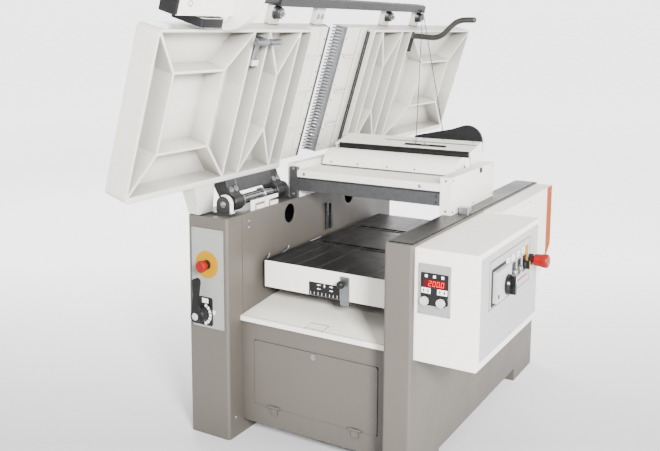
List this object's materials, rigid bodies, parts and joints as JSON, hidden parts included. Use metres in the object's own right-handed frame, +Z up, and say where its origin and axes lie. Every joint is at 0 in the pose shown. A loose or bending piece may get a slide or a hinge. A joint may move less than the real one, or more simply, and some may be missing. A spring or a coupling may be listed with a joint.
{
  "type": "combination planer thicknesser",
  "caption": "Woodworking planer thicknesser with both ribbed surfacing tables tilted up on one hinge, the dust hood swung over the cutterblock and the thicknessing bed open below.",
  "frame": {"origin": "on the floor, at the middle of the four anchor holes", "axes": "+X from the tables' hinge side to the control box, +Y along the thicknessing feed, +Z up"},
  "size_m": [1.073, 2.334, 1.4906],
  "materials": {
    "grey_paint": "textured",
    "white_paint": "satin",
    "cast_paint": "painted casting",
    "ground_iron": "ground",
    "dark_iron": "blackened",
    "steel": "brushed",
    "bright_steel": "polished",
    "black_plastic": "matte",
    "light_plastic": "matte",
    "red_plastic": "gloss",
    "rubber": "matte",
    "panel_paint": "satin",
    "motor_paint": "satin"
  },
  "bodies": {
    "base": {"left_column": "grey_paint", "right_column": "grey_paint", "lower_cabinet": "grey_paint", "shelf_cover": "white_paint", "control_plates": "panel_paint", "stop_collars": "black_plastic", "control_box": "white_paint", "switch_base": "light_plastic", "display_panel": "black_plastic", "drive_cover": "white_paint", "wear_strip": "ground_iron", "left_housing": "white_paint", "right_housing": "white_paint", "bearing_blocks": "dark_iron", "front_beam": "steel", "front_cover": "white_paint", "main_motor": "motor_paint", "drive_belts": "rubber", "feed_gearbox": "motor_paint", "feed_chain": "dark_iron", "hinge_brackets": "dark_iron", "hinge_shafts": "bright_steel", "hook_plates": "white_paint", "lift_column": "grey_paint"},
    "tables": {"hinge_blocks": "cast_paint", "outfeed_table": "cast_paint", "outfeed_lip": "steel", "front_rail": "steel", "hood_cables": "steel"},
    "infeed": {"infeed_table": "cast_paint", "infeed_lip": "steel", "lever_bracket": "black_plastic"},
    "infeed_lever": {"infeed_lever": "steel"},
    "table_lock": {"table_lock": "steel"},
    "guard": {"guard_arm": "white_paint"},
    "cutter": {"cutterblock": "steel"},
    "motor_rotor": {"motor_pulley": "dark_iron"},
    "infeed_roller": {"infeed_roller": "dark_iron"},
    "outfeed_roller": {"outfeed_roller": "steel"},
    "fingers": {"kickback_fingers": "dark_iron"},
    "shield": {"chip_shield": "white_paint"},
    "hood": {"hood_shell": "white_paint", "hood_lip": "rubber", "hood_outlet": "black_plastic"},
    "bed": {"thickness_table": "ground_iron"},
    "lift_screw": {"lift_screw": "steel"},
    "bed_roller_front": {"bed_rollers_front": "steel"},
    "bed_roller_rear": {"bed_rollers_rear": "steel"},
    "roller_lever": {"roller_lever": "steel"},
    "column_stop": {"column_stop_button": "red_plastic"},
    "box_stop": {"box_stop_button": "red_plastic"},
    "feed_lever": {"feed_lever": "black_plastic"},
    "main_switch": {"main_switch": "black_plastic"},
    "start_button": {"start_button": "light_plastic"},
    "feed_button": {"feed_button": "light_plastic"},
    "mode_selector": {"mode_selector": "black_plastic"},
    "raise_button": {"raise_button": "light_plastic"},
    "lower_button": {"lower_button": "light_plastic"},
    "hatch": {"access_hatch": "grey_paint"},
    "hatch_lock": {"hatch_lock": "black_plastic"}
  },
  "joints": [
    {"name": "tables_tilt", "type": "hinge", "parent": "base", "child": "tables", "pos_m": [-0.2976, 0, 0.7952], "axis": [0, 1, 0], "range_deg": [0, 73.5], "deforming": ["hood_cables"]},
    {"name": "infeed_drop", "type": "slide", "parent": "tables", "child": "infeed", "axis": [0.9588, 0, -0.284], "range_m": [0, 0.005]},
    {"name": "infeed_lever_turn", "type": "hinge", "parent": "infeed", "child": "infeed_lever", "pos_m": [-0.18048, 0.655, 1.34831], "axis": [0.284, 0, 0.9588], "range_deg": [0, 45]},
    {"name": "table_lock_turn", "type": "hinge", "parent": "tables", "child": "table_lock", "pos_m": [-0.20314, -0.508, 1.30705], "axis": [0.284, 0, 0.9588], "range_deg": [-15, 15]},
    {"name": "guard_swing", "type": "hinge", "parent": "tables", "child": "guard", "pos_m": [-0.19708, -0.72, 1.46483], "axis": [0, -1, 0], "range_deg": [0, 120]},
    {"name": "cutter_spin", "type": "hinge", "parent": "base", "child": "cutter", "pos_m": [0, 0.04, 0.8495], "axis": [1, 0, 0], "continuous": true},
    {"name": "motor_spin", "type": "hinge", "parent": "base", "child": "motor_rotor", "pos_m": [0.3, 0.33, 0.24], "axis": [1, 0, 0], "continuous": true},
    {"name": "infeed_roller_spin", "type": "hinge", "parent": "base", "child": "infeed_roller", "pos_m": [0, -0.064, 0.8165], "axis": [1, 0, 0], "continuous": true},
    {"name": "outfeed_roller_spin", "type": "hinge", "parent": "base", "child": "outfeed_roller", "pos_m": [0, 0.144, 0.8165], "axis": [1, 0, 0], "continuous": true},
    {"name": "finger_swing", "type": "hinge", "parent": "base", "child": "fingers", "pos_m": [0, -0.15, 0.847], "axis": [1, 0, 0], "range_deg": [0, 35]},
    {"name": "shield_swing", "type": "hinge", "parent": "base", "child": "shield", "pos_m": [0, 0.04, 0.8495], "axis": [-1, 0, 0], "range_deg": [0, 180]},
    {"name": "hood_swing", "type": "hinge", "parent": "base", "child": "hood", "pos_m": [0, 0.144, 0.8165], "axis": [-1, 0, 0], "range_deg": [0, 180]},
    {"name": "bed_travel", "type": "slide", "parent": "base", "child": "bed", "axis": [0, 0, -1], "range_m": [-0.19, 0.04]},
    {"name": "lift_screw_turn", "type": "hinge", "parent": "base", "child": "lift_screw", "pos_m": [0.036, 0.015, 0.06], "axis": [0, 0, 1], "range_deg": [-1440, 6840]},
    {"name": "bed_roller_front_spin", "type": "hinge", "parent": "bed", "child": "bed_roller_front", "pos_m": [0.036, -0.11, 0.5673], "axis": [1, 0, 0], "continuous": true},
    {"name": "bed_roller_rear_spin", "type": "hinge", "parent": "bed", "child": "bed_roller_rear", "pos_m": [0.036, 0.19, 0.5673], "axis": [1, 0, 0], "continuous": true},
    {"name": "roller_lever_slide", "type": "slide", "parent": "bed", "child": "roller_lever", "axis": [1, 0, 0], "range_m": [-0.075, 0]},
    {"name": "column_stop_push", "type": "slide", "parent": "base", "child": "column_stop", "axis": [0, 1, 0], "range_m": [0, 0.006], "stiffness_N_per_m": 400, "springref_m": -0.002},
    {"name": "box_stop_push", "type": "slide", "parent": "base", "child": "box_stop", "axis": [-1, 0, 0], "range_m": [0, 0.006], "stiffness_N_per_m": 400, "springref_m": -0.002},
    {"name": "feed_lever_turn", "type": "hinge", "parent": "base", "child": "feed_lever", "pos_m": [-0.351, -0.609, 0.427], "axis": [0, 1, 0], "range_deg": [0, 160]},
    {"name": "main_switch_turn", "type": "hinge", "parent": "base", "child": "main_switch", "pos_m": [0.6015, -0.385, 0.624], "axis": [1, 0, 0], "range_deg": [0, 90]},
    {"name": "start_push", "type": "slide", "parent": "base", "child": "start_button", "axis": [-1, 0, 0], "range_m": [0, 0.004], "stiffness_N_per_m": 400, "springref_m": -0.002},
    {"name": "feed_push", "type": "slide", "parent": "base", "child": "feed_button", "axis": [-1, 0, 0], "range_m": [0, 0.004], "stiffness_N_per_m": 400, "springref_m": -0.002},
    {"name": "mode_turn", "type": "hinge", "parent": "base", "child": "mode_selector", "pos_m": [0.6015, -0.198, 0.639], "axis": [1, 0, 0], "range_deg": [-45, 45]},
    {"name": "raise_push", "type": "slide", "parent": "base", "child": "raise_button", "axis": [0, 1, 0], "range_m": [0, 0.002], "stiffness_N_per_m": 400, "springref_m": -0.002},
    {"name": "lower_push", "type": "slide", "parent": "base", "child": "lower_button", "axis": [0, 1, 0], "range_m": [0, 0.002], "stiffness_N_per_m": 400, "springref_m": -0.002},
    {"name": "hatch_swing", "type": "hinge", "parent": "base", "child": "hatch", "pos_m": [0.036, -0.5363, 0.12], "axis": [1, 0, 0], "range_deg": [0, 90]},
    {"name": "hatch_lock_turn", "type": "hinge", "parent": "hatch", "child": "hatch_lock", "pos_m": [0.036, -0.534, 0.327], "axis": [0, 1, 0], "range_deg": [-90, 0]}
  ],
  "couplings": [
    {"joint": "hood_swing", "follows": "tables_tilt", "ratio": 2.449},
    {"joint": "shield_swing", "follows": "tables_tilt", "ratio": 2.449},
    {"joint": "infeed_drop", "follows": "infeed_lever_turn", "m_per_rad": 0.0063662},
    {"joint": "motor_spin", "follows": "cutter_spin", "ratio": 0.59091},
    {"joint": "outfeed_roller_spin", "follows": "infeed_roller_spin", "ratio": 1},
    {"joint": "lift_screw_turn", "follows": "bed_travel", "rad_per_m": -628.32}
  ]
}
